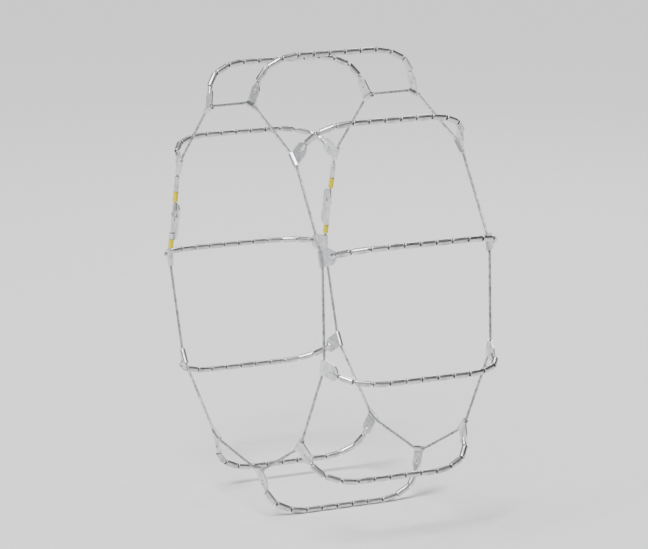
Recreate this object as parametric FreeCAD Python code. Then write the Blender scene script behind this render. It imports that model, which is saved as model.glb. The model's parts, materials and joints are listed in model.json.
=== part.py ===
import FreeCAD, Part
import math
import os

from FreeCAD import Rotation, Vector

# A cable-type tyre snow chain in the shape it has when it is fitted to a tyre.
# The origin is the centre of the tyre and the axle lies along Y.  The tread faces
# away from the Y axis; the side with negative Y is the outer side of the wheel.
# Angles round the tyre start at +Z and grow towards +X.  Lengths in millimetres.

# ---- driving dimensions ---------------------------------------------------------
MEMBERS = 11                # cross members round the tyre
PITCH = 360.0 / MEMBERS     # degrees from one cross member to the next
ROOT = 1                    # the cross member nearest the top
ROOT_ANGLE = 5.9            # degrees from the top to that cross member
LAST = 9                    # the member that carries the adjuster plates
FIRST = 10                  # the member that carries the T connectors

TREAD_RADIUS = 345.0        # axle to the centre line of a cross cable on the tread
SIDE_RADIUS = 275.0         # axle to the side cables, at a clip
SIDE_OFFSET = 134.0         # middle of the tyre to each side cable

SIDE_CABLE = 4.0            # diameter of the side cables
CROSS_CABLE = 3.6           # diameter of the cross cables
ROLLER = 9.0                # outer diameter of the steel rollers
ROLLER_LENGTH = 22.0
ROLLER_CHAMFER = 0.8
ROLLERS = 11                # on each cross cable
TREAD_ROLLERS = 5           # those on the straight run over the tread

JOINT_GAP = 0.3             # air between two pieces that turn against each other

# ---- end clip: a plate folded round the side cable, crimped on the cross cable ----
CLIP_LEAN = 15.0            # degrees that it leans from the wheel's plane to the tread
CLIP_WIDTH = 24.0           # along the side cable
CLIP_REACH = 35.0           # side cable to the mouth where the cross cable leaves
CLIP_THICKNESS = 2.2
CLIP_BARREL = 8.4           # diameter of the fold round the side cable
CLIP_CRIMP = 7.0            # diameter of the crimp round the cross cable
CLIP_CRIMP_LENGTH = 12.0
CLIP_HOLE = 4.4             # diameter
CLIP_HOLE_REACH = 17.5      # side cable to the hole
CLIP_SHOULDER = 25.0        # side cable to where the plate starts to narrow
CLIP_NOSE = 12.0            # width of the plate where it ends
CLIP_NOSE_REACH = 31.5
BORE_STOP = 1.0             # metal left at the closed end of a crimp's bore

# ---- shape of a cross cable over the shoulder of the tyre -------------------------
SHOULDER_RADIUS = 38.0
CROWN_ANGLE = 34.0          # degrees turned in the gentler arc next to the tread run

# ---- fastener: adjuster plate, T connector, ferrule and sleeves -------------------
# Places along the chord of the opening are measured from its middle.
SLEEVE = 8.4
SLEEVE_END = -61.0          # far end of the adjuster's sleeve
SLEEVE_GAP = 1.0            # bare cable between that sleeve and the plate
PLATE_START = -46.0
PLATE_END = 14.0
PLATE_WIDTH = 24.0
PLATE_NECK = 12.0           # width at both ends
PLATE_TAPER = 7.0
PLATE_THICKNESS = 2.5
PLATE_INSET = 3.6           # cable axis to the middle of the plate, towards the tyre
PLATE_CRIMP_LENGTH = 9.0
CRIMP = 8.0
SLOT_LENGTH = 17.0
SLOT_WIDTH = 6.4
SLOT_PLACE = -7.5
CABLE_END = 17.5            # end of the side cable under the T connector's sleeve
CONNECTOR_SLEEVE_LENGTH = 16.0
FERRULE = 7.6
FERRULE_START = 35.0
FERRULE_LENGTH = 24.0
CONNECTOR = 3.8             # diameter of the T connector's shank
HEAD_LENGTH = 16.0
HEAD_WIDTH = 5.4
HEAD_PLACE = -6.5

# ---- worked out from those ----------------------------------------------------------
KNEE = CLIP_WIDTH / 2 + SIDE_CABLE / 2 + JOINT_GAP     # clip centre to the cable's bend
KNEE_RADIUS = (KNEE - CLIP_WIDTH / 2) / math.tan(math.radians(PITCH / 4))
CHORD_HEIGHT = (SIDE_RADIUS * math.cos(math.radians(PITCH / 2))
                + KNEE * math.sin(math.radians(PITCH / 2)))   # axle to that chord
LEAN = math.radians(CLIP_LEAN)
CROWN = math.radians(CROWN_ANGLE)
SHOULDER = math.pi / 2 - CROWN - LEAN                  # turned in the shoulder arc
CROWN_RADIUS = (TREAD_RADIUS - SIDE_RADIUS - CLIP_REACH * math.cos(LEAN)
                - SHOULDER_RADIUS * (math.cos(CROWN) - math.sin(LEAN))) / (1 - math.cos(CROWN))
TREAD_HALF = (SIDE_OFFSET - CLIP_REACH * math.sin(LEAN)
              - SHOULDER_RADIUS * (math.cos(LEAN) - math.sin(CROWN))
              - CROWN_RADIUS * math.sin(CROWN))        # half of the straight tread run
HALF_RUN = TREAD_HALF + CROWN_RADIUS * CROWN + SHOULDER_RADIUS * SHOULDER
ROLLER_PITCH = 2 * HALF_RUN / ROLLERS
ROLLER_BORE = (CROSS_CABLE + 2 * JOINT_GAP
               + ROLLER_LENGTH ** 2 / (8 * SHOULDER_RADIUS))  # clears the bent cable


# ---- places -------------------------------------------------------------------------
def member_angle(member):
    """Angle of a cross member round the tyre, in degrees."""
    return ROOT_ANGLE + PITCH * (member - ROOT)


def ring_point(angle, along, height, y=0.0):
    """Point at a height above the axle and a distance along the tangent there."""
    turn = math.radians(angle)
    return Vector(
        along * math.cos(turn) + height * math.sin(turn),
        y,
        height * math.cos(turn) - along * math.sin(turn),
    )


def chord_angle():
    """Angle of the middle of the opening between the last and the first member."""
    return member_angle(LAST) + PITCH / 2


def run_point(distance):
    """Point of a top member's cable, at a distance from the middle of the tread.

    Positive distances go to the outer side.
    """
    side = math.copysign(1.0, distance)
    rest = abs(distance)
    if rest <= TREAD_HALF:
        return Vector(0, -distance, TREAD_RADIUS)
    turned = (rest - TREAD_HALF) / CROWN_RADIUS
    if turned <= CROWN:
        y = TREAD_HALF + CROWN_RADIUS * math.sin(turned)
        z = TREAD_RADIUS - CROWN_RADIUS * (1 - math.cos(turned))
        return Vector(0, -side * y, z)
    turned = CROWN + (rest - TREAD_HALF - CROWN_RADIUS * CROWN) / SHOULDER_RADIUS
    inner = CROWN_RADIUS - SHOULDER_RADIUS
    y = TREAD_HALF + inner * math.sin(CROWN) + SHOULDER_RADIUS * math.sin(turned)
    z = (TREAD_RADIUS - CROWN_RADIUS + inner * math.cos(CROWN)
         + SHOULDER_RADIUS * math.cos(turned))
    return Vector(0, -side * y, z)


# ---- shapes -------------------------------------------------------------------------
def turned(shape, angle):
    """Copy of a shape made at the top of the tyre, carried round to an angle."""
    copy = shape.copy()
    copy.rotate(Vector(0, 0, 0), Vector(0, 1, 0), angle)
    return copy


def mirrored(shape):
    """The same shape on the other side of the tyre."""
    return shape.mirror(Vector(0, 0, 0), Vector(0, 1, 0))


def rod(start, end, diameter):
    """Round bar between two points."""
    return Part.makeCylinder(diameter / 2, (end - start).Length, start, end - start)


def pipe(edges, diameter):
    """Round cable along a smooth path of lines and arcs."""
    path = Part.Wire(edges)
    start = edges[0].valueAt(edges[0].FirstParameter)
    heading = edges[0].tangentAt(edges[0].FirstParameter)
    section = Part.Wire([Part.makeCircle(diameter / 2, start, heading)])
    return path.makePipeShell([section], True, False)


def line(start, end):
    return Part.LineSegment(start, end).toShape()


def bent_path(points, radius):
    """Straight runs through the points, joined by tangent arcs of one radius."""
    edges = []
    start = points[0]
    for before, corner, after in zip(points, points[1:], points[2:]):
        inward = (corner - before).normalize()
        outward = (after - corner).normalize()
        turn = inward.getAngle(outward)
        setback = radius * math.tan(turn / 2)
        leave = corner - inward * setback
        join = corner + outward * setback
        bisector = (outward - inward).normalize()
        middle = corner + bisector * (radius / math.cos(turn / 2) - radius)
        edges.append(line(start, leave))
        edges.append(Part.Arc(leave, middle, join).toShape())
        start = join
    edges.append(line(start, points[-1]))
    return edges


def slot(place, length, width, depth):
    """Cutter with round ends, lying along X, centred on Y."""
    half = length / 2 - width / 2
    block = Part.makeBox(2 * half, depth, width, Vector(place - half, -depth / 2, -width / 2))
    for end in (place - half, place + half):
        drill = Part.makeCylinder(width / 2, depth, Vector(end, -depth / 2, 0), Vector(0, 1, 0))
        block = block.fuse(drill)
    return block


def save(name, solids):
    Part.makeCompound(solids).exportStep(os.path.join("parts", name + ".step"))


# ---- cross members --------------------------------------------------------------------
def cross_cable():
    """Wire rope of a top member, from crimp to crimp over the tread."""
    inside = Vector(0, math.sin(LEAN), math.cos(LEAN)) * (CLIP_CRIMP_LENGTH - BORE_STOP)
    mouth = run_point(HALF_RUN)
    crown_end = TREAD_HALF + CROWN_RADIUS * CROWN
    outer = [
        line(mouth - inside, mouth),
        Part.Arc(mouth, run_point((HALF_RUN + crown_end) / 2), run_point(crown_end)).toShape(),
        Part.Arc(run_point(crown_end), run_point((crown_end + TREAD_HALF) / 2),
                 run_point(TREAD_HALF)).toShape(),
    ]
    far_mouth = run_point(-HALF_RUN)
    far_inside = Vector(0, -inside.y, inside.z)
    inner = [
        Part.Arc(run_point(-TREAD_HALF), run_point(-(crown_end + TREAD_HALF) / 2),
                 run_point(-crown_end)).toShape(),
        Part.Arc(run_point(-crown_end), run_point(-(HALF_RUN + crown_end) / 2),
                 far_mouth).toShape(),
        line(far_mouth, far_mouth - far_inside),
    ]
    tread = line(run_point(TREAD_HALF), run_point(-TREAD_HALF))
    return pipe(outer + [tread] + inner, CROSS_CABLE)


def roller(distance):
    """Steel roller of a top member, loose on the cable at a distance along it."""
    near = run_point(distance - ROLLER_LENGTH / 2)
    far = run_point(distance + ROLLER_LENGTH / 2)
    centre = ((near + far) / 2 + run_point(distance)) / 2
    outer = ROLLER / 2
    half = ROLLER_LENGTH / 2
    profile = Part.makePolygon([
        Vector(ROLLER_BORE / 2, 0, -half),
        Vector(outer - ROLLER_CHAMFER, 0, -half),
        Vector(outer, 0, -half + ROLLER_CHAMFER),
        Vector(outer, 0, half - ROLLER_CHAMFER),
        Vector(outer - ROLLER_CHAMFER, 0, half),
        Vector(ROLLER_BORE / 2, 0, half),
        Vector(ROLLER_BORE / 2, 0, -half),
    ])
    body = Part.Face(profile).revolve(Vector(0, 0, 0), Vector(0, 0, 1), 360)
    body.Placement = FreeCAD.Placement(centre, Rotation(Vector(0, 0, 1), far - near))
    return body


def tread_rollers():
    middle = (TREAD_ROLLERS - 1) / 2
    return [roller((number - middle) * ROLLER_PITCH) for number in range(TREAD_ROLLERS)]


def shoulder_rollers():
    first = (TREAD_ROLLERS + 1) / 2
    on_each_side = (ROLLERS - TREAD_ROLLERS) // 2
    outer = [roller((first + number) * ROLLER_PITCH) for number in range(on_each_side)]
    return outer + [mirrored(solid) for solid in outer]


def end_clip():
    """Outer clip of a top member.

    It is made flat, with the side cable along X and the plate along Y, and then
    stood up against the side of the tyre.
    """
    half = CLIP_WIDTH / 2
    nose = CLIP_NOSE / 2
    outline = Part.makePolygon([
        Vector(-half, 0, 0),
        Vector(half, 0, 0),
        Vector(half, CLIP_SHOULDER, 0),
        Vector(nose, CLIP_NOSE_REACH, 0),
        Vector(-nose, CLIP_NOSE_REACH, 0),
        Vector(-half, CLIP_SHOULDER, 0),
        Vector(-half, 0, 0),
    ])
    plate = Part.Face(outline).extrude(Vector(0, 0, CLIP_THICKNESS))
    plate.translate(Vector(0, 0, -CLIP_THICKNESS / 2))
    barrel = rod(Vector(-half, 0, 0), Vector(half, 0, 0), CLIP_BARREL)
    mouth = Vector(0, CLIP_REACH, 0)
    crimp = rod(mouth - Vector(0, CLIP_CRIMP_LENGTH, 0), mouth, CLIP_CRIMP)
    clip = plate.fuse([barrel, crimp])
    hole_start = Vector(0, CLIP_HOLE_REACH, -CLIP_THICKNESS)
    clip = clip.cut([
        rod(Vector(-half, 0, 0), Vector(half, 0, 0), SIDE_CABLE),
        rod(mouth - Vector(0, CLIP_CRIMP_LENGTH - BORE_STOP, 0), mouth, CROSS_CABLE),
        rod(hole_start, hole_start + Vector(0, 0, 2 * CLIP_THICKNESS), CLIP_HOLE),
    ]).removeSplitter()
    clip.rotate(Vector(0, 0, 0), Vector(1, 0, 0), 90 - CLIP_LEAN)
    clip.translate(Vector(0, -SIDE_OFFSET, SIDE_RADIUS))
    return clip


# ---- side cables ------------------------------------------------------------------------
def parent_of(member):
    """The next member on the way to the root, along either branch of the ring."""
    if member == 0:
        return ROOT
    if member == FIRST:
        return 0
    return member - 1


def side_cable(member):
    """Outer side cable of one bay, from its parent's clip through its own clip."""
    ahead = -1 if member in (0, FIRST) else 1
    face = ring_point(member_angle(member), ahead * CLIP_WIDTH / 2, SIDE_RADIUS)
    if member == ROOT:
        back = ring_point(member_angle(ROOT), -CLIP_WIDTH / 2, SIDE_RADIUS)
        return rod(back, face, SIDE_CABLE)
    joint = ring_point(member_angle(parent_of(member)), ahead * KNEE, SIDE_RADIUS)
    knee = ring_point(member_angle(member), -ahead * KNEE, SIDE_RADIUS)
    points = [joint, knee, face]
    if member in (LAST, FIRST):
        end = PLATE_START + PLATE_CRIMP_LENGTH - BORE_STOP if member == LAST else CABLE_END
        points = [
            joint,
            knee,
            ring_point(member_angle(member), ahead * KNEE, SIDE_RADIUS),
            ring_point(chord_angle(), end, CHORD_HEIGHT),
        ]
    cable = pipe(bent_path(points, KNEE_RADIUS), SIDE_CABLE)
    return cable.fuse(Part.makeSphere(SIDE_CABLE / 2, joint)).removeSplitter()


# ---- fastener -----------------------------------------------------------------------------
# Each piece is made with the cable along X through the origin and the tyre on the side
# of positive Y, then carried to the outer chord between the first and the last member.
def on_chord(shape):
    shape.translate(Vector(0, -SIDE_OFFSET, CHORD_HEIGHT))
    return turned(shape, chord_angle())


def collar(start, length, diameter):
    """Sleeve or ferrule round the side cable."""
    begin = Vector(start, 0, 0)
    end = Vector(start + length, 0, 0)
    return on_chord(rod(begin, end, diameter).cut(rod(begin, end, SIDE_CABLE)))


def adjuster_plate():
    half = PLATE_WIDTH / 2
    neck = PLATE_NECK / 2
    outline = Part.makePolygon([
        Vector(PLATE_START, 0, -neck),
        Vector(PLATE_START + PLATE_TAPER, 0, -half),
        Vector(PLATE_END - PLATE_TAPER, 0, -half),
        Vector(PLATE_END, 0, -neck),
        Vector(PLATE_END, 0, neck),
        Vector(PLATE_END - PLATE_TAPER, 0, half),
        Vector(PLATE_START + PLATE_TAPER, 0, half),
        Vector(PLATE_START, 0, neck),
        Vector(PLATE_START, 0, -neck),
    ])
    plate = Part.Face(outline).extrude(Vector(0, PLATE_THICKNESS, 0))
    plate.translate(Vector(0, -PLATE_THICKNESS / 2, 0))
    plate = plate.cut(slot(SLOT_PLACE, SLOT_LENGTH, SLOT_WIDTH, 2 * PLATE_THICKNESS))
    plate.translate(Vector(0, PLATE_INSET, 0))
    begin = Vector(PLATE_START, 0, 0)
    end = Vector(PLATE_START + PLATE_CRIMP_LENGTH, 0, 0)
    plate = plate.fuse(rod(begin, end, CRIMP))
    bore_end = end - Vector(BORE_STOP, 0, 0)
    return on_chord(plate.cut(rod(begin, bore_end, SIDE_CABLE)).removeSplitter())


def t_connector():
    """Shank and cross head, turning where the cable leaves its sleeve."""
    pivot = Vector(CABLE_END - CONNECTOR / 2 - JOINT_GAP, 0, 0)
    shank = rod(Vector(HEAD_PLACE, 0, 0), pivot, CONNECTOR)
    head = slot(0.0, HEAD_LENGTH, HEAD_WIDTH, CONNECTOR)
    head.rotate(Vector(0, 0, 0), Vector(0, 1, 0), 90)
    head.translate(Vector(HEAD_PLACE, 0, 0))
    connector = shank.fuse([Part.makeSphere(CONNECTOR / 2, pivot), head])
    return on_chord(connector.removeSplitter())


# ---- the whole chain --------------------------------------------------------------------------
def both_sides(outer):
    return [outer, mirrored(outer)]


def make_cross_members():
    cable = cross_cable()
    clips = both_sides(end_clip())
    on_tread = tread_rollers()
    on_shoulders = shoulder_rollers()
    for member in range(MEMBERS):
        angle = member_angle(member)
        number = "%02d" % member
        save("cross_cable_" + number, [turned(cable, angle)])
        save("end_clips_" + number, [turned(clip, angle) for clip in clips])
        save("tread_rollers_" + number, [turned(solid, angle) for solid in on_tread])
        save("shoulder_rollers_" + number, [turned(solid, angle) for solid in on_shoulders])


def make_side_cables():
    for member in range(MEMBERS):
        cable = side_cable(member)
        cable.translate(Vector(0, -SIDE_OFFSET, 0))
        solids = both_sides(cable)
        if member == FIRST:
            ferrule = collar(FERRULE_START, FERRULE_LENGTH, FERRULE)
            solids += both_sides(ferrule)
        save("side_cables_%02d" % member, solids)


def make_fastener():
    sleeve_length = PLATE_START - SLEEVE_GAP - SLEEVE_END
    save("adjuster_plates", both_sides(adjuster_plate()))
    save("adjuster_sleeves", both_sides(collar(SLEEVE_END, sleeve_length, SLEEVE)))
    save("connector_sleeves", both_sides(collar(CABLE_END, CONNECTOR_SLEEVE_LENGTH, SLEEVE)))
    connector = t_connector()
    save("t_connector_outer", [connector])
    save("t_connector_inner", [mirrored(connector)])


os.makedirs("parts", exist_ok=True)
make_cross_members()
make_side_cables()
make_fastener()
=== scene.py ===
import json
import math
import random

import bmesh
import bpy
import numpy as np
from mathutils import Matrix, Vector


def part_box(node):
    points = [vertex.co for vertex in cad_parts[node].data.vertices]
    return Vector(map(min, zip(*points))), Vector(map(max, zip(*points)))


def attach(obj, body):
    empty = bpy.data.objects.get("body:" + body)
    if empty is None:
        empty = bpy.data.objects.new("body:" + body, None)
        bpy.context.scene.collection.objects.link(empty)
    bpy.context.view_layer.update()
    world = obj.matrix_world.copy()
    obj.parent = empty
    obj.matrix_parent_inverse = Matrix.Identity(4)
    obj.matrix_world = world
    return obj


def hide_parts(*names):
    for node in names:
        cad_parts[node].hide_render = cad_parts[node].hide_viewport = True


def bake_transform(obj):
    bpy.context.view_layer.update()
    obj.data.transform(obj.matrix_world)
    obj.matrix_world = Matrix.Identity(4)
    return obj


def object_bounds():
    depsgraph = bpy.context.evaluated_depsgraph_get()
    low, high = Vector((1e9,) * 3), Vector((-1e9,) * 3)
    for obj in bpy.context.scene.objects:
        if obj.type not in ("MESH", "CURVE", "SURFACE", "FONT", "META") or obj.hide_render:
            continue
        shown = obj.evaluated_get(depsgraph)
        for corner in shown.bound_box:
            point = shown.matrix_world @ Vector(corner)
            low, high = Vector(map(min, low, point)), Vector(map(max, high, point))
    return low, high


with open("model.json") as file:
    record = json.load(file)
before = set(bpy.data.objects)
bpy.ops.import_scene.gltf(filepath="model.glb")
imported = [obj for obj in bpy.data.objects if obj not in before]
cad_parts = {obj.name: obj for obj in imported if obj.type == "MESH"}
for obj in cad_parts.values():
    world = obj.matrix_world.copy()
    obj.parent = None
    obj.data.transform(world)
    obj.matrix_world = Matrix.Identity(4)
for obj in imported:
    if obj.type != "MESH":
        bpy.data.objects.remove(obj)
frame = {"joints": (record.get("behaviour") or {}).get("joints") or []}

# A cable-type tyre chain in its fitted shape.  Metres; the axle lies along Y and the outer
# side of the wheel has negative Y.  Pieces of one cross member are made at the top of the
# ring, in the plane X = 0, and carried round to the member's own angle.

CAD_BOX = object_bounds()

# ---- driving dimensions, the same as the CAD's ------------------------------------------------
JOINTS = {joint["name"]: joint for joint in frame["joints"]}
SPINS = sorted(name for name in JOINTS if name.startswith("tread_spin_"))
MEMBERS = [name[-2:] for name in SPINS]
TREAD_AXES = {name[-2:]: Vector(JOINTS[name]["pos_m"]) for name in SPINS}
ANGLES = {member: math.atan2(at.x, at.z) for member, at in TREAD_AXES.items()}
PITCH = 2 * math.pi / len(MEMBERS)
ROOT = "01"
LAST = "09"
FIRST = "10"
BACKWARD = ("00", FIRST)        # members of the short branch, which runs against the angles

SIDE_CABLE = 0.0040
CROSS_CABLE = 0.0036
SIDE_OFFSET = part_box("side_cables_01")[1].y - SIDE_CABLE / 2
TREAD_RADIUS = TREAD_AXES[ROOT].length
SIDE_RADIUS = 0.275
JOINT_GAP = 0.0003
CLIP_WIDTH = 0.024
CLIP_LEAN = math.radians(15)
CLIP_REACH = 0.035
SHOULDER_RADIUS = 0.038
CROWN_ANGLE = math.radians(34)
ROLLERS = 11
TREAD_ROLLERS = 5
ROLLER = 0.0090
ROLLER_LENGTH = 0.0220

KNEE = CLIP_WIDTH / 2 + SIDE_CABLE / 2 + JOINT_GAP
KNEE_RADIUS = (KNEE - CLIP_WIDTH / 2) / math.tan(PITCH / 4)
CHORD_HEIGHT = SIDE_RADIUS * math.cos(PITCH / 2) + KNEE * math.sin(PITCH / 2)
CHORD_ANGLE = ANGLES[LAST] + PITCH / 2
SHOULDER_ANGLE = math.pi / 2 - CROWN_ANGLE - CLIP_LEAN
CROWN_RADIUS = (TREAD_RADIUS - SIDE_RADIUS - CLIP_REACH * math.cos(CLIP_LEAN)
                - SHOULDER_RADIUS * (math.cos(CROWN_ANGLE) - math.sin(CLIP_LEAN))) / (
                    1 - math.cos(CROWN_ANGLE))
TREAD_HALF = (SIDE_OFFSET - CLIP_REACH * math.sin(CLIP_LEAN)
              - SHOULDER_RADIUS * (math.cos(CLIP_LEAN) - math.sin(CROWN_ANGLE))
              - CROWN_RADIUS * math.sin(CROWN_ANGLE))
HALF_RUN = TREAD_HALF + CROWN_RADIUS * CROWN_ANGLE + SHOULDER_RADIUS * SHOULDER_ANGLE
ROLLER_PITCH = 2 * HALF_RUN / ROLLERS
ROLLER_BORE = CROSS_CABLE + 2 * JOINT_GAP + ROLLER_LENGTH ** 2 / (8 * SHOULDER_RADIUS)


# ---- camera, floor and light ------------------------------------------------------------------
VIEW_AZIMUTH = math.radians(64.0)
VIEW_ELEVATION = math.radians(12.1)
VIEW_DISTANCE = 5.0
LENS = 185.0
HORIZON_BAND = (0.03, 0.19)     # heights of a heading between which the backdrop darkens
HORIZON_LIGHT = 1.12            # about as pale as the floor, so no dark edge shows
OVERHEAD_LIGHT = 0.08           # dim, so that the metal has something dark to reflect
BACKDROP_TINT = (0.95, 0.97, 1.0, 1)
OVERHEAD = ((0.6, -1.0, 3.0), 4.6, 35)      # place, strength, spread in degrees
KEY = ((1.2, -2.4, 3.0), 1.0, 70)           # place, size, power
RIM_LIGHT = ((-2.0, 1.6, 2.2), 1.2, 30)
FLOOR_SIZE = 60


def make_camera():
    """A long lens at the angle from which the photo was taken."""
    centre = (CAD_BOX[0] + CAD_BOX[1]) / 2
    back = Vector((
        math.sin(VIEW_AZIMUTH) * math.cos(VIEW_ELEVATION),
        -math.cos(VIEW_AZIMUTH) * math.cos(VIEW_ELEVATION),
        math.sin(VIEW_ELEVATION),
    ))
    data = bpy.data.cameras.new("camera")
    data.sensor_width = 36.0
    data.lens = LENS
    camera = bpy.data.objects.new("camera", data)
    bpy.context.scene.collection.objects.link(camera)
    camera.location = centre + back * VIEW_DISTANCE
    camera.rotation_mode = "QUATERNION"
    camera.rotation_quaternion = (-back).to_track_quat("-Z", "Y")
    bpy.context.scene.camera = camera


def aim(name, data, place):
    """Puts a light into the scene, pointing at the middle of the chain."""
    light = bpy.data.objects.new(name, data)
    bpy.context.scene.collection.objects.link(light)
    light.location = place
    light.rotation_mode = "QUATERNION"
    light.rotation_quaternion = (-Vector(place)).to_track_quat("-Z", "Y")


def area_light(name, place, size, power):
    """A round soft lamp."""
    data = bpy.data.lights.new(name, "AREA")
    data.shape = "DISK"
    data.size = size
    data.energy = power
    aim(name, data, place)


def even_light(name, place, strength, spread):
    """Lights the whole floor alike; its spread in degrees sets how soft the shadows are."""
    data = bpy.data.lights.new(name, "SUN")
    data.energy = strength
    data.angle = math.radians(spread)
    aim(name, data, place)


def make_studio():
    """Pale floor and horizon under a dark ceiling, with three lamps."""
    world = bpy.data.worlds.new("studio")
    bpy.context.scene.world = world
    world.use_nodes = True
    nodes = world.node_tree.nodes
    links = world.node_tree.links
    background = nodes["Background"]
    background.inputs["Color"].default_value = BACKDROP_TINT
    heading = nodes.new("ShaderNodeSeparateXYZ")
    links.new(nodes.new("ShaderNodeTexCoord").outputs["Generated"], heading.inputs["Vector"])
    fade = nodes.new("ShaderNodeMapRange")
    fade.inputs["From Min"].default_value = HORIZON_BAND[0]
    fade.inputs["From Max"].default_value = HORIZON_BAND[1]
    fade.inputs["To Min"].default_value = HORIZON_LIGHT
    fade.inputs["To Max"].default_value = OVERHEAD_LIGHT
    links.new(heading.outputs["Z"], fade.inputs["Value"])
    links.new(fade.outputs["Result"], background.inputs["Strength"])
    even_light("overhead", *OVERHEAD)
    area_light("key", *KEY)
    area_light("rim", *RIM_LIGHT)
    bpy.ops.mesh.primitive_plane_add(size=FLOOR_SIZE, location=(0, 0, CAD_BOX[0].z))
    floor = bpy.context.object
    floor.name = "floor"
    floor.data.materials.append(floor_material())


# ---- materials --------------------------------------------------------------------------------
WORN_EDGE = (0.52, 0.60)        # pointiness between which metal turns to rubbed edge
CREASE_SHADE = (0.38, 0.455)          # pointiness between which the painted shade in a hollow fades out


class Shader:
    """A Principled material with short helpers for its procedural nodes."""

    def __init__(self, name, color, metallic, roughness):
        self.material = bpy.data.materials.new(name)
        self.material.use_nodes = True
        self.nodes = self.material.node_tree.nodes
        self.links = self.material.node_tree.links
        self.surface = self.nodes["Principled BSDF"]
        self.surface.inputs["Base Color"].default_value = (*color, 1)
        self.surface.inputs["Metallic"].default_value = metallic
        self.surface.inputs["Roughness"].default_value = roughness
        self.place = self.nodes.new("ShaderNodeTexCoord")

    def mapped(self, kind, scale):
        mapping = self.nodes.new("ShaderNodeMapping")
        mapping.inputs["Scale"].default_value = scale
        self.links.new(self.place.outputs[kind], mapping.inputs["Vector"])
        return mapping.outputs["Vector"]

    def noise(self, scale, detail=4.0, kind="Object", stretch=(1, 1, 1)):
        texture = self.nodes.new("ShaderNodeTexNoise")
        texture.inputs["Scale"].default_value = scale
        texture.inputs["Detail"].default_value = detail
        self.links.new(self.mapped(kind, stretch), texture.inputs["Vector"])
        return texture.outputs["Fac"]

    def cells(self, scale):
        texture = self.nodes.new("ShaderNodeTexVoronoi")
        texture.inputs["Scale"].default_value = scale
        self.links.new(self.mapped("Object", (1, 1, 1)), texture.inputs["Vector"])
        return texture.outputs["Distance"]

    def ramp(self, value, stops):
        ramp = self.nodes.new("ShaderNodeValToRGB")
        points = ramp.color_ramp.elements
        while len(points) < len(stops):
            points.new(0.5)
        for point, (position, color) in zip(points, stops):
            point.position = position
            point.color = (*color, 1)
        self.links.new(value, ramp.inputs["Fac"])
        return ramp.outputs["Color"]

    def range(self, value, low, high, start=0.3, end=0.7):
        spread = self.nodes.new("ShaderNodeMapRange")
        spread.inputs["From Min"].default_value = start
        spread.inputs["From Max"].default_value = end
        spread.inputs["To Min"].default_value = low
        spread.inputs["To Max"].default_value = high
        self.links.new(value, spread.inputs["Value"])
        return spread.outputs["Result"]

    def mix(self, factor, first, second):
        mix = self.nodes.new("ShaderNodeMixRGB")
        self.links.new(factor, mix.inputs["Fac"])
        self.links.new(first, mix.inputs["Color1"])
        self.links.new(second, mix.inputs["Color2"])
        return mix.outputs["Color"]

    def edges(self, start, end):
        """0 up to one pointiness and 1 from the next; the more outward an edge, the higher."""
        geometry = self.nodes.new("ShaderNodeNewGeometry")
        return self.range(geometry.outputs["Pointiness"], 0.0, 1.0, start, end)

    def bump(self, heights):
        """Each height is (value, strength, distance); they add up from the first."""
        normal = None
        for value, strength, distance in heights:
            bump = self.nodes.new("ShaderNodeBump")
            bump.inputs["Strength"].default_value = strength
            bump.inputs["Distance"].default_value = distance
            self.links.new(value, bump.inputs["Height"])
            if normal is not None:
                self.links.new(normal, bump.inputs["Normal"])
            normal = bump.outputs["Normal"]
        self.links.new(normal, self.surface.inputs["Normal"])

    def set(self, socket, value):
        self.links.new(value, self.surface.inputs[socket])


def floor_material():
    shader = Shader("floor_pale", (0.80, 0.80, 0.80), 0.0, 0.7)
    grain = shader.noise(40.0)
    pale = shader.ramp(grain, [(0.3, (0.79, 0.79, 0.79)), (0.7, (0.82, 0.82, 0.82))])
    shader.set("Base Color", pale)
    return shader.material


def rope_material(name, dark, light):
    """Galvanised strands: each one shows its own fine wires, laid the other way."""
    shader = Shader(name, light, 1.0, 0.4)
    wires = shader.nodes.new("ShaderNodeTexWave")
    wires.bands_direction = "DIAGONAL"
    wires.inputs["Scale"].default_value = 1.0
    wires.inputs["Distortion"].default_value = 0.3
    shader.links.new(shader.mapped("UV", (4.4, 440.0, 1.0)), wires.inputs["Vector"])
    smudge = shader.noise(160.0, 5.0)
    shader.set("Base Color", shader.ramp(smudge, [(0.32, dark), (0.62, light)]))
    shader.set("Roughness", shader.range(smudge, 0.52, 0.30))
    shader.bump([(wires.outputs["Fac"], 0.5, 0.00012), (smudge, 0.2, 0.0001)])
    return shader.material


def roller_material():
    """Plain steel tube: turned marks round it, grey smudges and bright rubbed rims."""
    shader = Shader("roller_steel", (0.62, 0.62, 0.61), 1.0, 0.35)
    rings = shader.noise(1.0, 3.0, "UV", (1.5, 900.0, 1.0))
    smudge = shader.noise(90.0, 6.0)
    base = shader.ramp(smudge, [(0.25, (0.36, 0.36, 0.35)), (0.5, (0.60, 0.60, 0.59)),
                                (0.75, (0.74, 0.74, 0.73))])
    bright = shader.ramp(smudge, [(0.0, (0.86, 0.86, 0.85)), (1.0, (0.90, 0.90, 0.89))])
    shader.set("Base Color", shader.mix(shader.edges(*WORN_EDGE), base, bright))
    shader.set("Roughness", shader.range(smudge, 0.46, 0.26))
    shader.bump([(rings, 0.25, 0.00010), (smudge, 0.15, 0.00020)])
    return shader.material


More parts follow.
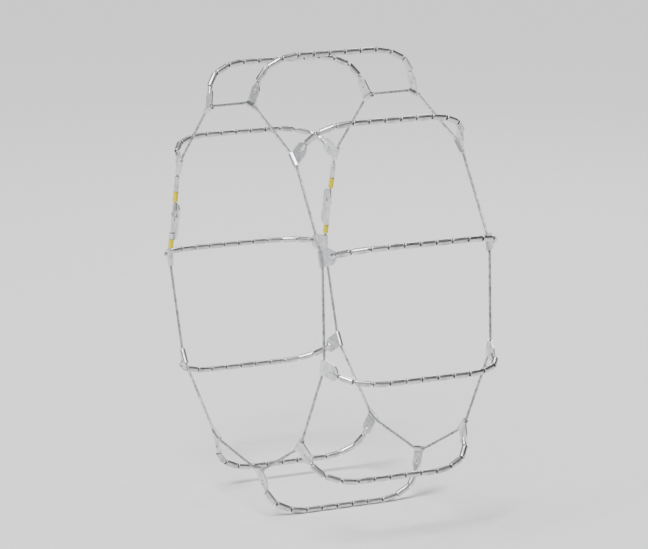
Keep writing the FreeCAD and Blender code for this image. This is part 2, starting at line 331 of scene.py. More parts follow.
def zinc_material():
    """Bright zinc on stamped plate: faint crystals, fine scratches, polished edges, and painted shade
    that darkens the creases and hollows.
    """
    shader = Shader("zinc_plate", (0.86, 0.87, 0.88), 1.0, 0.35)
    crystals = shader.cells(1500.0)
    smudge = shader.noise(120.0, 6.0)
    scratches = shader.noise(300.0, 2.0, "Object", (1.0, 8.0, 0.6))
    base = shader.ramp(smudge, [(0.30, (0.52, 0.53, 0.54)), (0.60, (0.76, 0.77, 0.78))])
    # painted shade: the near-black colour that the crease mask lays into the plate's hollows and creases
    painted_shade = shader.ramp(smudge, [(0.0, (0.16, 0.16, 0.16)), (1.0, (0.26, 0.26, 0.26))])
    bright = shader.ramp(smudge, [(0.0, (0.95, 0.95, 0.95)), (1.0, (0.97, 0.97, 0.97))])
    base_and_painted_shade = shader.mix(shader.edges(*CREASE_SHADE), painted_shade, base)
    shader.set("Base Color", shader.mix(shader.edges(*WORN_EDGE), base_and_painted_shade, bright))
    shader.set("Roughness", shader.range(crystals, 0.30, 0.40, 0.1, 0.6))
    shader.bump([(crystals, 0.04, 0.00004), (scratches, 0.10, 0.00006)])
    return shader.material


def forged_material():
    """Forged connector under a thin plating: rough skin, rubbed bright on its edges."""
    shader = Shader("forged_steel", (0.50, 0.50, 0.49), 1.0, 0.45)
    skin = shader.noise(500.0, 5.0)
    smudge = shader.noise(110.0, 5.0)
    base = shader.ramp(smudge, [(0.3, (0.34, 0.34, 0.33)), (0.7, (0.60, 0.60, 0.59))])
    bright = shader.ramp(smudge, [(0.0, (0.80, 0.80, 0.78)), (1.0, (0.84, 0.84, 0.82))])
    shader.set("Base Color", shader.mix(shader.edges(*WORN_EDGE), base, bright))
    shader.set("Roughness", shader.range(skin, 0.38, 0.58))
    shader.bump([(skin, 0.35, 0.00012)])
    return shader.material


def vinyl_material():
    """Dipped yellow vinyl: deep colour, slight orange-peel skin, a little road dirt."""
    shader = Shader("yellow_vinyl", (0.86, 0.74, 0.02), 0.0, 0.36)
    peel = shader.noise(900.0, 2.0)
    dirt = shader.noise(140.0, 6.0)
    base = shader.ramp(dirt, [(0.22, (0.42, 0.34, 0.002)), (0.40, (0.74, 0.60, 0.001)),
                              (0.80, (0.82, 0.68, 0.001))])
    shader.set("Base Color", base)
    shader.set("Roughness", shader.range(dirt, 0.58, 0.42))
    shader.bump([(peel, 0.2, 0.0001)])
    shader.surface.inputs["Specular IOR Level"].default_value = 0.25
    return shader.material


# ---- mesh helpers -----------------------------------------------------------------------------
class Builder:
    """Collects rings and grids of points into one mesh with UVs."""

    def __init__(self):
        self.points = []
        self.faces = []
        self.coordinates = []

    def rings(self, rings, closed=False):
        """Skin over rings of points, all of the same count; capped unless closed on itself."""
        count, sides = rings.shape[0], rings.shape[1]
        base = len(self.points)
        self.points.extend(map(tuple, rings.reshape(-1, 3)))
        centres = rings.mean(axis=1)
        along = np.concatenate([[0.0], np.cumsum(np.linalg.norm(np.diff(centres, axis=0), axis=1))])
        if closed:
            steps = np.linalg.norm(np.diff(rings[:, 0], axis=0), axis=1)
            along = np.concatenate([[0.0], np.cumsum(steps)])
        spans = count if closed else count - 1
        for row in range(spans):
            after = (row + 1) % count
            for side in range(sides):
                beside = (side + 1) % sides
                self.faces.append((base + row * sides + side, base + row * sides + beside,
                                   base + after * sides + beside, base + after * sides + side))
                left, right = side / sides, (side + 1) / sides
                low = along[row]
                high = along[after] if after else along[row]
                self.coordinates.append(((left, low), (right, low), (right, high), (left, high)))
        if closed:
            return
        for row, order in ((0, range(sides - 1, -1, -1)), (count - 1, range(sides))):
            self.faces.append(tuple(base + row * sides + side for side in order))
            self.coordinates.append(((0.0, 0.0),) * sides)

    def mesh(self, name, sharp=35.0):
        mesh = bpy.data.meshes.new(name)
        mesh.from_pydata(self.points, [], self.faces)
        layer = mesh.uv_layers.new(name="UVMap")
        flat = [value for corner in self.coordinates for pair in corner for value in pair]
        layer.data.foreach_set("uv", flat)
        return finished(mesh, sharp)


def finished(mesh, sharp=35.0):
    """Consistent normals, smooth faces and sharp creases."""
    work = bmesh.new()
    work.from_mesh(mesh)
    bmesh.ops.remove_doubles(work, verts=work.verts, dist=1e-7)
    bmesh.ops.recalc_face_normals(work, faces=work.faces)
    work.to_mesh(mesh)
    work.free()
    mesh.polygons.foreach_set("use_smooth", [True] * len(mesh.polygons))
    mesh.set_sharp_from_angle(angle=math.radians(sharp))
    return mesh


def mirrored(mesh):
    """The same mesh on the other side of the tyre."""
    copy = mesh.copy()
    copy.transform(Matrix.Scale(-1, 4, Vector((0, 1, 0))))
    copy.flip_normals()
    return copy


def add_piece(name, mesh, material, body, replaced=(), turn=0.0):
    """Puts a finished mesh into the scene, riding on a body and standing for CAD nodes."""
    if turn:
        mesh = mesh.copy()
        mesh.transform(Matrix.Rotation(turn, 4, "Y"))
    mesh.materials.clear()
    mesh.materials.append(material)
    piece = bpy.data.objects.new(name, mesh)
    bpy.context.scene.collection.objects.link(piece)
    if body:
        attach(piece, body)
    if replaced:
        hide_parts(*replaced)
    return piece


def ring_point(angle, along, height, y=0.0):
    """Point at a height above the axle and a distance along the tangent there."""
    return Vector((
        along * math.cos(angle) + height * math.sin(angle),
        y,
        height * math.cos(angle) - along * math.sin(angle),
    ))


def run_point(distance):
    """Centre line of a cross cable at the top, positive distances to the outer side."""
    side = math.copysign(1.0, distance)
    rest = abs(distance)
    if rest <= TREAD_HALF:
        return Vector((0, -distance, TREAD_RADIUS))
    turned = (rest - TREAD_HALF) / CROWN_RADIUS
    if turned <= CROWN_ANGLE:
        y = TREAD_HALF + CROWN_RADIUS * math.sin(turned)
        return Vector((0, -side * y, TREAD_RADIUS - CROWN_RADIUS * (1 - math.cos(turned))))
    if rest > HALF_RUN:
        inward = Vector((0, -side * math.sin(CLIP_LEAN), -math.cos(CLIP_LEAN)))
        return run_point(side * HALF_RUN) + inward * (rest - HALF_RUN)
    inner = CROWN_RADIUS - SHOULDER_RADIUS
    bent = CROWN_ANGLE + (rest - TREAD_HALF - CROWN_RADIUS * CROWN_ANGLE) / SHOULDER_RADIUS
    y = TREAD_HALF + inner * math.sin(CROWN_ANGLE) + SHOULDER_RADIUS * math.sin(bent)
    z = (TREAD_RADIUS - CROWN_RADIUS + inner * math.cos(CROWN_ANGLE)
         + SHOULDER_RADIUS * math.cos(bent))
    return Vector((0, -side * y, z))


class CornerArc:
    """The arc that rounds a corner off, tangent to the line before it and the line after."""

    def __init__(self, before, corner, after, radius):
        inward = (corner - before).normalized()
        outward = (after - corner).normalized()
        self.turn = inward.angle(outward)
        setback = radius * math.tan(self.turn / 2)
        self.start = corner - inward * setback
        self.end = corner + outward * setback
        middle = (outward - inward).normalized()
        self.centre = corner + middle * (radius / math.cos(self.turn / 2))
        self.axis = inward.cross(outward)

    def points(self, steps, count):
        """The first points of those that split the arc into equal steps."""
        spoke = self.start - self.centre
        return [self.centre + Matrix.Rotation(self.turn * number / steps, 3, self.axis) @ spoke
                for number in range(count)]


def bent_line(points, radius, step):
    """Evenly spaced points along straight runs joined by tangent arcs of one radius."""
    samples = []
    start = points[0]
    for before, corner, after in zip(points, points[1:], points[2:]):
        arc = CornerArc(before, corner, after, radius)
        samples += straight(start, arc.start, step)
        steps = max(2, round(radius * arc.turn / step))
        samples += arc.points(steps, steps)
        start = arc.end
    return samples + straight(start, points[-1], step) + [points[-1]]


def straight(start, end, step):
    """Evenly spaced points from the start, without the end."""
    count = max(1, round((end - start).length / step))
    return [start.lerp(end, number / count) for number in range(count)]


def headings(line):
    """Unit vectors along a line of points."""
    ahead = np.gradient(line, axis=0)
    return ahead / np.linalg.norm(ahead, axis=1, keepdims=True)


def unit(vectors):
    return vectors / np.linalg.norm(vectors, axis=1, keepdims=True)


# ---- wire rope --------------------------------------------------------------------------------
STRANDS = 6
STRAND_SIDES = 8
LAY = 6.5                       # rope diameters in which a strand goes once round
ROPE_STEP = 0.0014
STRAND_SHARE = 1 / 3            # strand diameter over rope diameter, for six round a core
CLIP_GRIP = 0.010               # cross cable inside a clip's crimp
PLATE_GRIP = 0.006              # side cable inside the plate's barrel
SIDES = ((-1, "outer"), (1, "inner"))


def rope(builder, samples, plane, diameter):
    """Strands laid round a plane curve; plane is the normal of the plane that it lies in."""
    line = np.array(samples)
    ahead = headings(line)
    across = np.cross(np.array(plane), ahead)
    travelled = np.concatenate([[0.0], np.cumsum(np.linalg.norm(np.diff(line, axis=0), axis=1))])
    strand_radius = diameter / 2 * STRAND_SHARE
    for strand in range(STRANDS):
        phase = 2 * math.pi * (strand / STRANDS + travelled / (LAY * diameter))
        outward = (np.cos(phase)[:, None] * across + np.sin(phase)[:, None] * np.array(plane))
        centres = line + outward * (diameter / 2 - strand_radius)
        along = headings(centres)
        sideways = unit(np.cross(along, outward))
        upward = np.cross(sideways, along)
        turn = np.linspace(0, 2 * math.pi, STRAND_SIDES, endpoint=False)
        circle = (np.cos(turn)[None, :, None] * upward[:, None, :]
                  + np.sin(turn)[None, :, None] * sideways[:, None, :])
        builder.rings(centres[:, None, :] + strand_radius * circle)


def rope_mesh(name, samples, plane, diameter):
    builder = Builder()
    rope(builder, samples, plane, diameter)
    return builder.mesh(name, sharp=80.0)


def make_cross_cables(material):
    """One mesh for all members, from inside one crimp to inside the other."""
    reach = HALF_RUN + CLIP_GRIP
    count = round(2 * reach / ROPE_STEP)
    samples = [run_point(reach - 2 * reach * number / count) for number in range(count + 1)]
    mesh = rope_mesh("cross_rope", samples, (1, 0, 0), CROSS_CABLE)
    for member in MEMBERS:
        add_piece("cross_rope_" + member, mesh, material, "bay_" + member,
                  ["cross_cable_" + member], ANGLES[member])


def parent_of(member):
    """The member from which the hinge to this one starts."""
    if member == "00":
        return ROOT
    if member == FIRST:
        return "00"
    return "%02d" % (int(member) - 1)


def make_side_cables(material):
    """One rope per bay and side, from the middle of one clip to the middle of the next."""
    for member in MEMBERS:
        if member == ROOT:
            continue
        parent = parent_of(member)
        ahead = -1 if member in BACKWARD else 1
        points = [
            ring_point(ANGLES[parent], 0.0, SIDE_RADIUS),
            ring_point(ANGLES[parent], ahead * KNEE, SIDE_RADIUS),
            ring_point(ANGLES[member], -ahead * KNEE, SIDE_RADIUS),
            ring_point(ANGLES[member], 0.0, SIDE_RADIUS),
        ]
        samples = bent_line(points, KNEE_RADIUS, ROPE_STEP)
        for side, where in SIDES:
            shift = Vector((0, side * SIDE_OFFSET, 0))
            moved = [sample + shift for sample in samples]
            mesh = rope_mesh("side_rope", moved, (0, 1, 0), SIDE_CABLE)
            replaced = ["side_cables_" + member]
            if parent == ROOT:
                replaced.append("side_cables_" + ROOT)
            piece = add_piece("side_rope_%s_%s" % (where, member), mesh, material, None,
                              replaced)
            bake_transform(piece)


def make_side_tails(material):
    """The rope ends at the opening: to the adjuster plate and to the T connector."""
    for member, end in ((LAST, PLATE_START + PLATE_GRIP), (FIRST, CABLE_END)):
        ahead = -1 if member in BACKWARD else 1
        points = [
            ring_point(ANGLES[member], 0.0, SIDE_RADIUS),
            ring_point(ANGLES[member], ahead * KNEE, SIDE_RADIUS),
            ring_point(CHORD_ANGLE, end, CHORD_HEIGHT),
        ]
        samples = bent_line(points, KNEE_RADIUS, ROPE_STEP)
        for side, where in SIDES:
            moved = [sample + Vector((0, side * SIDE_OFFSET, 0)) for sample in samples]
            mesh = rope_mesh("side_tail", moved, (0, 1, 0), SIDE_CABLE)
            add_piece("side_tail_%s_%s" % (where, member), mesh, material, "bay_" + member,
                      ["side_cables_" + member])


# ---- rollers ----------------------------------------------------------------------------------
SEAM = math.radians(4.0)        # half the opening of the rolled seam along a roller
SEAM_DEPTH = 0.0005
SEAM_FLOOR = 0.6                # share of the opening that lies at full depth
RIM = 0.0009                    # radius of a roller's rounded rim
RIM_ANGLES = [math.radians(angle) for angle in (0, 22, 45, 68, 90)]
WALL_PLACES = (-0.6, -0.2, 0.2, 0.6)        # rings between the rims, as shares of half a roller
ROLLER_SIDES = 26               # points round a roller, besides those of the seam
ROLLER_SEED = 11


def roller_rings(centre, axis, seam):
    """A rolled tube with rounded rims and an open seam along one side."""
    ahead = np.array(axis.normalized())
    across = np.array(Vector(ahead).orthogonal().normalized())
    upward = np.cross(ahead, across)
    half = ROLLER_LENGTH / 2
    outer = ROLLER / 2
    bore = ROLLER_BORE / 2
    lip = outer - RIM
    end = half - RIM
    profile = [(lip + RIM * math.sin(a), -end - RIM * math.cos(a)) for a in RIM_ANGLES]
    profile += [(outer, place * half) for place in WALL_PLACES]
    profile += [(lip + RIM * math.cos(a), end + RIM * math.sin(a)) for a in RIM_ANGLES]
    profile += [(bore, half - RIM / 2), (bore, -half + RIM / 2)]
    floor = SEAM * SEAM_FLOOR
    full = 2 * math.pi
    turns = list(np.linspace(2 * SEAM, full - 2 * SEAM, ROLLER_SIDES))
    turns += [full - SEAM, full - floor, floor, SEAM]
    rings = []
    for radius, place in profile:
        ring = []
        for turn in turns:
            in_seam = radius > bore and (turn <= floor or turn >= full - floor)
            reach = radius - SEAM_DEPTH if in_seam else radius
            spoke = math.cos(turn + seam) * across + math.sin(turn + seam) * upward
            ring.append(np.array(centre) + place * ahead + reach * spoke)
        rings.append(ring)
    return np.array(rings)


def roller_mesh(name, places, chance):
    """Rollers at distances along the cross cable, each with its seam turned at random."""
    builder = Builder()
    for place in places:
        near = run_point(place - ROLLER_LENGTH / 2)
        far = run_point(place + ROLLER_LENGTH / 2)
        centre = ((near + far) / 2 + run_point(place)) / 2
        builder.rings(roller_rings(centre, far - near, chance.uniform(0, 2 * math.pi)), True)
    return builder.mesh(name, sharp=40.0)


def make_rollers(material):
    """The straight tread set of each member, which spins, and its two shoulder sets."""
    chance = random.Random(ROLLER_SEED)
    middle = (TREAD_ROLLERS - 1) / 2
    on_tread = [(number - middle) * ROLLER_PITCH for number in range(TREAD_ROLLERS)]
    each_side = (ROLLERS - TREAD_ROLLERS) // 2
    outer = [(middle + 1 + number) * ROLLER_PITCH for number in range(each_side)]
    on_shoulders = outer + [-place for place in outer]
    for member in MEMBERS:
        mesh = roller_mesh("tread_set", on_tread, chance)
        add_piece("tread_set_" + member, mesh, material, "tread_set_" + member,
                  ["tread_rollers_" + member], ANGLES[member])
        mesh = roller_mesh("shoulder_set", on_shoulders, chance)
        add_piece("shoulder_set_" + member, mesh, material, "bay_" + member,
                  ["shoulder_rollers_" + member], ANGLES[member])


# ---- end clips --------------------------------------------------------------------------------
CLIP_THICKNESS = 0.0022
CLIP_BARREL = 0.0084
CLIP_CRIMP = 0.0070
CLIP_CRIMP_LENGTH = 0.012
CLIP_HOLE = 0.0044
CLIP_HOLE_REACH = 0.0175
CLIP_SHOULDER = 0.025
CLIP_NOSE = 0.012
CLIP_NOSE_REACH = 0.0315
NOSE_STEP = 0.0006              # length over which the plate ends beside the crimp
FOLD_LINE = 0.0050              # side cable to the crease where the two leaves meet
FOLD_WIDTH = 0.0005
FOLD_DEPTH = 0.45               # share of the plate's thickness
CRIMP_RISE = 0.002              # length over which the plate swells into the crimp
PINCH_PLACE = 0.005             # from the end of the clip
PINCH_WIDTH = 0.0012
PINCH_DEPTH = 0.07              # share of the crimp's radius
JOIN_POWER = 6                  # the higher, the sharper one form meets the next
EDGE_ROUND = 0.00025
EDGE_ANGLE = math.radians(40)   # sharper edges than this are rounded
BARREL_ROWS = 10
CLIP_COLUMNS = 48
CLIP_ROW = 0.0006
HOLE_CELLS = 4                  # half the block of grid cells that the hole takes out
FADE_CELLS = 9                  # where the grid is square again


def clip_half_width(reach):
    """Half the clip's width at a distance from the side cable."""
    if reach <= CLIP_SHOULDER:
        return CLIP_WIDTH / 2
    if reach <= CLIP_NOSE_REACH:
        share = (reach - CLIP_SHOULDER) / (CLIP_NOSE_REACH - CLIP_SHOULDER)
        return CLIP_WIDTH / 2 + share * (CLIP_NOSE - CLIP_WIDTH) / 2
    share = min(1.0, (reach - CLIP_NOSE_REACH) / NOSE_STEP)
    return CLIP_NOSE / 2 + share * (CLIP_CRIMP - CLIP_NOSE) / 2


def clip_height(along, reach):
    """Half thickness of the folded plate, with its barrel and its crimp."""
    barrel = math.sqrt(max(0.0, (CLIP_BARREL / 2) ** 2 - reach ** 2))
    crease = FOLD_DEPTH * math.exp(-((reach - FOLD_LINE) / FOLD_WIDTH) ** 2)
    plate = CLIP_THICKNESS / 2 * (1 - crease) if 0 <= reach <= CLIP_NOSE_REACH else 0.0
    start = CLIP_REACH - CLIP_CRIMP_LENGTH
    rise = min(1.0, max(0.0, (reach - start + CRIMP_RISE / 2) / CRIMP_RISE))
    pinch = 1.0 - PINCH_DEPTH * math.exp(-((reach - CLIP_REACH + PINCH_PLACE) / PINCH_WIDTH) ** 2)
    crimp = rise * pinch * math.sqrt(max(0.0, (CLIP_CRIMP / 2) ** 2 - along ** 2))
    return sum(form ** JOIN_POWER for form in (barrel, plate, crimp)) ** (1 / JOIN_POWER)


def clip_mesh():
    """The folded plate as an upper and a lower skin with a wall round every edge."""
    radius = CLIP_BARREL / 2
    reaches = [-radius * math.cos(math.pi / 2 * row / BARREL_ROWS) for row in range(BARREL_ROWS)]
    rows = round(CLIP_REACH / CLIP_ROW)
    reaches += [CLIP_REACH * row / rows for row in range(rows + 1)]
    count = len(reaches)
    hole_row = min(range(count), key=lambda row: abs(reaches[row] - CLIP_HOLE_REACH))
    hole_column = CLIP_COLUMNS // 2
    centre = Vector((0, CLIP_HOLE_REACH))
    points = []
    index = {}
    for row in range(count):
        for column in range(CLIP_COLUMNS + 1):
            ring = max(abs(row - hole_row), abs(column - hole_column))
            if ring < HOLE_CELLS:
                continue
            share = 2 * column / CLIP_COLUMNS - 1
            spot = Vector((share * clip_half_width(reaches[row]), reaches[row]))
            if ring < FADE_CELLS:
                fade = (FADE_CELLS - ring) / (FADE_CELLS - HOLE_CELLS)
                heading = (spot - centre).normalized()
                round_spot = centre + heading * (CLIP_HOLE / 2) * ring / HOLE_CELLS
                spot = spot.lerp(round_spot, fade)
            height = clip_height(spot.x, spot.y)
            for level in (1, -1):
                index[row, column, level] = len(points)
                points.append((spot.x, spot.y, level * height))
    faces = []
    walls = {}

    def cell_open(row, column):
        inside_rows = 0 <= row < count - 1
        inside_columns = 0 <= column < CLIP_COLUMNS
        in_hole = (hole_row - HOLE_CELLS <= row < hole_row + HOLE_CELLS
                   and hole_column - HOLE_CELLS <= column < hole_column + HOLE_CELLS)
        return not (inside_rows and inside_columns) or in_hole

    for row in range(count - 1):
        for column in range(CLIP_COLUMNS):
            if cell_open(row, column):
                continue
            corners = [(row, column), (row, column + 1), (row + 1, column + 1), (row + 1, column)]
            faces.append([index[r, c, 1] for r, c in corners])
            faces.append([index[r, c, -1] for r, c in reversed(corners)])
            beside = [(row - 1, column), (row, column + 1), (row + 1, column), (row, column - 1)]
            for number, neighbour in enumerate(beside):
                if cell_open(*neighbour):
                    walls[corners[number], corners[(number + 1) % 4]] = True
    for first, second in walls:
        faces.append([index[*second, 1], index[*first, 1], index[*first, -1], index[*second, -1]])
    mesh = bpy.data.meshes.new("end_clip")
    mesh.from_pydata(points, [], faces)
    mesh.transform(Matrix.Rotation(math.pi / 2 - CLIP_LEAN, 4, "X"))
    mesh.transform(Matrix.Translation(Vector((0, -SIDE_OFFSET, SIDE_RADIUS))))
    return finished(mesh)


def soften(piece):
    """Rounds off the sharp edges of a stamped piece."""
    bevel = piece.modifiers.new("rounded_edges", "BEVEL")
    bevel.width = EDGE_ROUND
    bevel.segments = 2
    bevel.limit_method = "ANGLE"
    bevel.angle_limit = EDGE_ANGLE


def make_end_clips(material):
    outer = clip_mesh()
    inner = mirrored(outer)
    for member in MEMBERS:
        for where, mesh in (("outer", outer), ("inner", inner)):
            clip = add_piece("end_clip_%s_%s" % (where, member), mesh, material, "bay_" + member,
                             ["end_clips_" + member], ANGLES[member])
            soften(clip)


# ---- fastener ---------------------------------------------------------------------------------
SLEEVE = 0.0084
SLEEVE_END = -0.061
SLEEVE_GAP = 0.001
PLATE_START = -0.046
PLATE_END = 0.014
PLATE_WIDTH = 0.024
PLATE_NECK = 0.012
PLATE_TAPER = 0.007
PLATE_ROUND = 0.003             # radius of the corners of its outline
PLATE_THICKNESS = 0.0025
PLATE_ROLLED = 0.0004           # radius of its edges
PLATE_INSET = 0.0036
PLATE_CRIMP_LENGTH = 0.009
CRIMP = 0.0080
SLOT_LENGTH = 0.017
SLOT_WIDTH = 0.0064
SLOT_PLACE = -0.0075
CABLE_END = 0.0175
CONNECTOR_SLEEVE_LENGTH = 0.016
FERRULE = 0.0076
FERRULE_START = 0.035
FERRULE_LENGTH = 0.024
CONNECTOR = 0.0038
HEAD_LENGTH = 0.016
HEAD_WIDTH = 0.0054
HEAD_PLACE = -0.0065
SLEEVE_RIM = 0.0007
SLEEVE_WAIST = 0.955            # share of the sleeve's radius left at its middle
METAL_RIM = 0.0006
FERRULE_BANDS = 3
FERRULE_FLATS = 6
FERRULE_COLLAR = 0.25           # depth of the pressing wave that leaves the collars plain
FERRULE_PRESS = 0.11            # share of the radius
FERRULE_ROUND = 0.45            # share of that pressing that goes all round
BARREL_PRESS = 0.08             # share of the radius
BARREL_PRESS_WIDTH = 0.16       # share of the barrel's length
CORNER_STEPS = 6
SLOT_STEPS = 12                 # on each round end
TUBE_STEPS = 4                  # on each rim


def on_chord(mesh):
    """Carries a piece made along X, with the tyre towards positive Y, to the outer chord."""
    mesh.transform(Matrix.Translation(Vector((0, -SIDE_OFFSET, CHORD_HEIGHT))))
    mesh.transform(Matrix.Rotation(CHORD_ANGLE, 4, "Y"))
    return mesh


def turned_mesh(name, profile, bore, shape=None, sides=32):
    """Tube along X: profile is (place, radius) pairs, and shape(place, turn) scales a radius."""
    outline = list(profile) + [(profile[-1][0], bore), (profile[0][0], bore)]
    rings = []
    for place, radius in outline:
        ring = []
        for side in range(sides):
            turn = 2 * math.pi * side / sides
            reach = radius
            if shape and radius > bore:
                reach = radius * shape(place, turn)
            ring.append((place, reach * math.sin(turn), reach * math.cos(turn)))
        rings.append(ring)
    builder = Builder()
    builder.rings(np.array(rings), True)
    return builder.mesh(name)


def rounded_tube(start, length, radius, rim, steps):
    """Profile of a sleeve with rounded rims."""
    bend = [math.pi / 2 * number / TUBE_STEPS for number in range(TUBE_STEPS + 1)]
    profile = [(start + rim - rim * math.cos(a), radius - rim + rim * math.sin(a)) for a in bend]
    inner = length - 2 * rim
    profile += [(start + rim + inner * number / steps, radius) for number in range(1, steps)]
    end = start + length
    profile += [(end - rim + rim * math.sin(a), radius - rim + rim * math.cos(a)) for a in bend]
    return profile


def sleeve_mesh(start, length):
    """Vinyl tube, a little slimmer in the middle than at its lips."""
    def shape(place, turn):
        share = 2 * (place - start) / length - 1
        return SLEEVE_WAIST + (1 - SLEEVE_WAIST) * share ** 4
    profile = rounded_tube(start, length, SLEEVE / 2, SLEEVE_RIM, steps=10)
    return on_chord(turned_mesh("sleeve", profile, SIDE_CABLE / 2, shape))


def ferrule_mesh():
    """Swaged ferrule: pressed flats in bands, with plain collars between them."""
    def shape(place, turn):
        share = (place - FERRULE_START) / FERRULE_LENGTH * FERRULE_BANDS
        wave = math.sin(math.pi * (share % 1.0))
        pressed = max(0.0, wave - FERRULE_COLLAR) / (1 - FERRULE_COLLAR)
        flats = (1 - FERRULE_ROUND) * math.cos(FERRULE_FLATS / 2 * turn) ** 2
        return 1.0 - FERRULE_PRESS * pressed * (FERRULE_ROUND + flats)
    profile = rounded_tube(FERRULE_START, FERRULE_LENGTH, FERRULE / 2, METAL_RIM, steps=36)
    return on_chord(turned_mesh("ferrule", profile, SIDE_CABLE / 2, shape, sides=36))


def outline_curve(corners, radius):
    """Closed outline in the XY plane with rounded corners."""
    samples = []
    count = len(corners)
    for number, corner in enumerate(corners):
        arc = CornerArc(corners[number - 1], corner, corners[(number + 1) % count], radius)
        samples += arc.points(CORNER_STEPS, CORNER_STEPS + 1)
    return samples


def slot_curve():
    """Closed outline of the slot: two half circles."""
    half = SLOT_LENGTH / 2 - SLOT_WIDTH / 2
    samples = []
    for end, start in ((half, -math.pi / 2), (-half, math.pi / 2)):
        for step in range(SLOT_STEPS + 1):
            turn = start + math.pi * step / SLOT_STEPS
            samples.append(Vector((SLOT_PLACE + end + SLOT_WIDTH / 2 * math.cos(turn),
                                   SLOT_WIDTH / 2 * math.sin(turn), 0)))
    return samples


def plate_mesh():
    """Plate with one slot and rolled edges, made as a filled flat curve."""
    half = PLATE_WIDTH / 2
    neck = PLATE_NECK / 2
    corners = [Vector(corner) for corner in (
        (PLATE_START, -neck, 0), (PLATE_START + PLATE_TAPER, -half, 0),
        (PLATE_END - PLATE_TAPER, -half, 0), (PLATE_END, -neck, 0),
        (PLATE_END, neck, 0), (PLATE_END - PLATE_TAPER, half, 0),
        (PLATE_START + PLATE_TAPER, half, 0), (PLATE_START, neck, 0),
    )]
    curve = bpy.data.curves.new("plate_outline", "CURVE")
    curve.dimensions = "2D"
    curve.fill_mode = "BOTH"
    curve.extrude = PLATE_THICKNESS / 2 - PLATE_ROLLED
    curve.bevel_depth = PLATE_ROLLED
    curve.bevel_resolution = 2
    curve.offset = -PLATE_ROLLED
    for samples in (outline_curve(corners, PLATE_ROUND), slot_curve()):
        spline = curve.splines.new("POLY")
        spline.points.add(len(samples) - 1)
        for point, sample in zip(spline.points, samples):
            point.co = (*sample, 1)
        spline.use_cyclic_u = True
    holder = bpy.data.objects.new("plate_outline", curve)
    mesh = bpy.data.meshes.new_from_object(holder)
    bpy.data.objects.remove(holder)
    mesh.transform(Matrix.Rotation(-math.pi / 2, 4, "X"))
    mesh.transform(Matrix.Translation(Vector((0, PLATE_INSET, 0))))
    return on_chord(finished(mesh, sharp=50.0))


def plate_crimp_mesh():
    """The plate's own barrel, pressed on the cable at its middle."""
    def shape(place, turn):
        share = (place - PLATE_START) / PLATE_CRIMP_LENGTH
        return 1.0 - BARREL_PRESS * math.exp(-((share - 0.5) / BARREL_PRESS_WIDTH) ** 2)
    profile = rounded_tube(PLATE_START, PLATE_CRIMP_LENGTH, CRIMP / 2, METAL_RIM, steps=18)
    return on_chord(turned_mesh("plate_crimp", profile, SIDE_CABLE / 2, shape))


CONNECTOR_SIDES = 24
SHANK_STEPS = 30
SWELL = 0.9                     # how much wider the shank gets where it meets the head
SWELL_START = 0.72              # share of the shank before it widens
HEAD_STEPS = 16                 # on each side of the shank
FORGED_ROUND = 0.7              # below 1 squares off the head's section
POINT = 0.00001                 # keeps the end rings from closing to nothing
FORGED_GRAIN = 0.00022          # size of the remeshed cells
FORGED_SMOOTHING = 0.5          # share of each step
FORGED_PASSES = 5
HEAD_SQUARE = 5                 # the higher, the blunter the ends of the head


def flattened(value):
    """Squares off a sine or cosine, so that a round section gets flatter sides."""
    return math.copysign(abs(value) ** FORGED_ROUND, value)


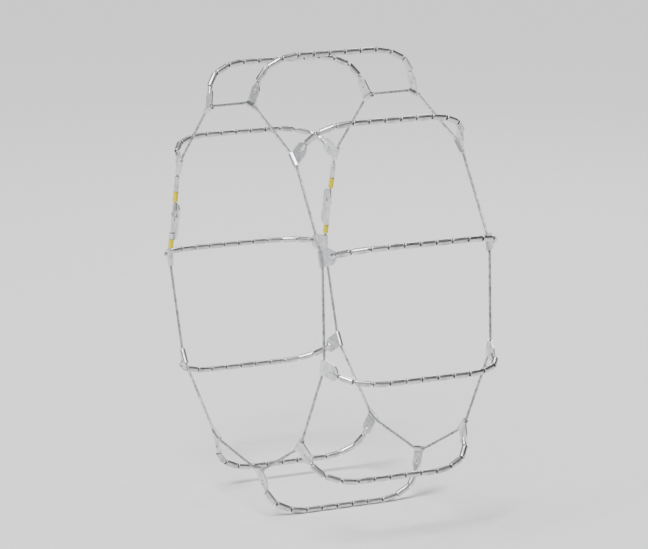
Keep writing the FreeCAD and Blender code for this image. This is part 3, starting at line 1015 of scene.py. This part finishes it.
def connector_mesh():
    """Forged T: a shank that swells into a rounded cross head, made one by a fine remesh."""
    pivot = CABLE_END - CONNECTOR / 2 - JOINT_GAP
    radius = CONNECTOR / 2
    turns = [2 * math.pi * side / CONNECTOR_SIDES for side in range(CONNECTOR_SIDES)]
    rings = []
    for step in range(SHANK_STEPS + 1):
        share = step / SHANK_STEPS
        place = pivot + radius - share * (pivot + radius - HEAD_PLACE)
        cap = min(1.0, (pivot + radius - place) / radius)
        reach = radius * math.sqrt(max(0.0, 1 - (1 - cap) ** 2)) + POINT
        swell = 1 + SWELL * max(0.0, share - SWELL_START) / (1 - SWELL_START)
        rings.append([(place, reach * math.sin(t), reach * swell * math.cos(t)) for t in turns])
    builder = Builder()
    builder.rings(np.array(rings))
    rings = []
    for step in range(-HEAD_STEPS, HEAD_STEPS + 1):
        share = step / HEAD_STEPS
        height = HEAD_LENGTH / 2 * share
        taper = math.sqrt(max(0.0, 1 - abs(share) ** HEAD_SQUARE)) + POINT
        wide = HEAD_WIDTH / 2 * taper
        deep = radius * taper
        rings.append([(HEAD_PLACE + wide * flattened(math.cos(t)), deep * flattened(math.sin(t)), height)
                      for t in turns])
    builder.rings(np.array(rings))
    mesh = builder.mesh("t_connector")
    rough = bpy.data.objects.new("rough_connector", mesh)
    bpy.context.scene.collection.objects.link(rough)
    remesh = rough.modifiers.new("one_skin", "REMESH")
    remesh.mode = "VOXEL"
    remesh.voxel_size = FORGED_GRAIN
    smooth = rough.modifiers.new("forged", "SMOOTH")
    smooth.factor = FORGED_SMOOTHING
    smooth.iterations = FORGED_PASSES
    bpy.context.view_layer.update()
    depsgraph = bpy.context.evaluated_depsgraph_get()
    result = bpy.data.meshes.new_from_object(rough.evaluated_get(depsgraph))
    bpy.data.objects.remove(rough)
    return on_chord(finished(result, sharp=60.0))


def make_fastener(steel, zinc, forged, vinyl):
    """Everything at the opening but the ropes, made for the outer side and mirrored."""
    parts = [
        ("adjuster_plate", plate_mesh(), zinc, "bay_" + LAST, "zinc_plate", ["adjuster_plates"]),
        ("plate_crimp", plate_crimp_mesh(), zinc, "bay_" + LAST, "zinc_plate", ["adjuster_plates"]),
        ("adjuster_sleeve", sleeve_mesh(SLEEVE_END, PLATE_START - SLEEVE_GAP - SLEEVE_END), vinyl,
         "bay_" + LAST, "yellow_vinyl", ["adjuster_sleeves"]),
        ("connector_sleeve", sleeve_mesh(CABLE_END, CONNECTOR_SLEEVE_LENGTH), vinyl,
         "bay_" + FIRST, "yellow_vinyl", ["connector_sleeves"]),
        ("ferrule", ferrule_mesh(), steel, "bay_" + FIRST, "wire_rope", ["side_cables_" + FIRST]),
    ]
    for name, mesh, material, body, slot, replaced in parts:
        add_piece(name + "_outer", mesh, material, body, replaced)
        add_piece(name + "_inner", mirrored(mesh), material, body, replaced)
    mesh = connector_mesh()
    for where, shape in (("outer", mesh), ("inner", mirrored(mesh))):
        add_piece("connector_" + where, shape, forged, "connector_" + where,
                  ["t_connector_" + where])


# ---- the scene --------------------------------------------------------------------------------
make_camera()
make_studio()
side_rope = rope_material("side_rope", (0.28, 0.28, 0.27), (0.60, 0.60, 0.59))
# The cross rope is the same galvanised rope as the side rope, made darker throughout: painted shade for
# the cable where it lies in the gaps between the rollers.
cross_rope = rope_material("cross_rope", (0.20, 0.20, 0.19), (0.46, 0.46, 0.45))
roller_steel = roller_material()
zinc_plate = zinc_material()
make_cross_cables(cross_rope)
make_side_cables(side_rope)
make_side_tails(side_rope)
make_rollers(roller_steel)
make_end_clips(zinc_plate)
make_fastener(roller_steel, zinc_plate, forged_material(), vinyl_material())
